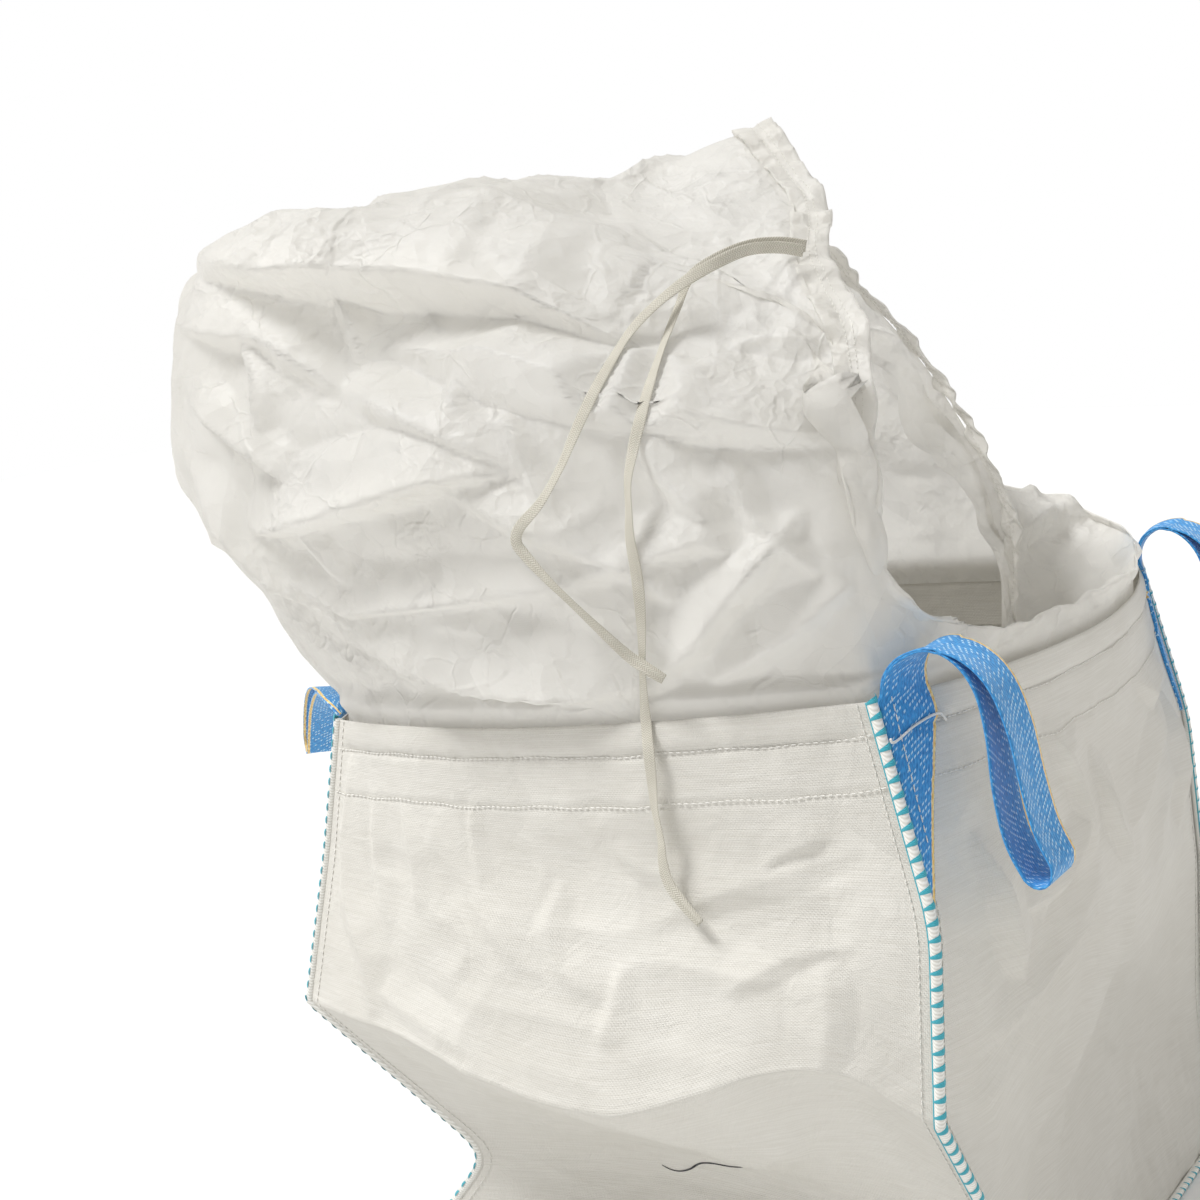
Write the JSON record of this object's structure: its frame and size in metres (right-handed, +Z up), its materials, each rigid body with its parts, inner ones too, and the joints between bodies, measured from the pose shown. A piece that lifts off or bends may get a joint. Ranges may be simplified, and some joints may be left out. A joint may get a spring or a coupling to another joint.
{
  "type": "bulk bag",
  "caption": "Woven bulk bag standing on a square base, with webbing lift loops sewn in the corner seams and a long open duffle skirt with a tie tape.",
  "frame": {"origin": "centre of the base, on the floor it stands on", "axes": "+Z up; the front panel faces -Y; +X to the right, the side the skirt's mouth hangs open to"},
  "size_m": [1.2959, 1.0103, 1.4568],
  "materials": {
    "woven_fabric": "matte",
    "skirt_fabric": "satin",
    "filler_cord": "matte",
    "overlock_thread": "satin",
    "loop_webbing": "satin",
    "tie_tape": "matte"
  },
  "bodies": {
    "bag": {"base_panel": "woven_fabric", "front_panel": "woven_fabric", "right_panel": "woven_fabric", "back_panel": "woven_fabric", "left_panel": "woven_fabric", "top_hem": "woven_fabric", "base_seam": "filler_cord", "base_overlock": "overlock_thread", "seam_front_left": "filler_cord", "seam_front_right": "filler_cord", "seam_back_right": "filler_cord", "seam_back_left": "filler_cord", "overlock_front_left": "overlock_thread", "overlock_front_right": "overlock_thread", "overlock_back_right": "overlock_thread", "overlock_back_left": "overlock_thread", "loop_leg_front_left": "loop_webbing", "loop_leg_front_right": "loop_webbing", "loop_leg_back_right": "loop_webbing", "loop_leg_back_left": "loop_webbing", "skirt": "skirt_fabric", "skirt_hem": "skirt_fabric", "tie_tape_long": "tie_tape", "tie_tape_short": "tie_tape"},
    "lift_loop_front_left": {"lift_loop_front_left": "loop_webbing"},
    "lift_loop_front_right": {"lift_loop_front_right": "loop_webbing"},
    "lift_loop_back_right": {"lift_loop_back_right": "loop_webbing"},
    "lift_loop_back_left": {"lift_loop_back_left": "loop_webbing"}
  },
  "joints": [
    {"name": "lift_loop_front_left_hinge", "type": "hinge", "parent": "bag", "child": "lift_loop_front_left", "pos_m": [-0.4983, -0.2939, 0.7854], "axis": [0.6606, 0.7507, 0], "range_deg": [0, 60]},
    {"name": "lift_loop_front_right_hinge", "type": "hinge", "parent": "bag", "child": "lift_loop_front_right", "pos_m": [0.4082, -0.4003, 0.9152], "axis": [0, -1, 0], "range_deg": [0, 120]},
    {"name": "lift_loop_back_right_hinge", "type": "hinge", "parent": "bag", "child": "lift_loop_back_right", "pos_m": [0.4128, 0.3351, 0.9078], "axis": [0, -1, 0], "range_deg": [0, 120]},
    {"name": "lift_loop_back_left_hinge", "type": "hinge", "parent": "bag", "child": "lift_loop_back_left", "pos_m": [-0.5139, 0.325, 0.8049], "axis": [0, 1, 0], "range_deg": [0, 60]}
  ]
}
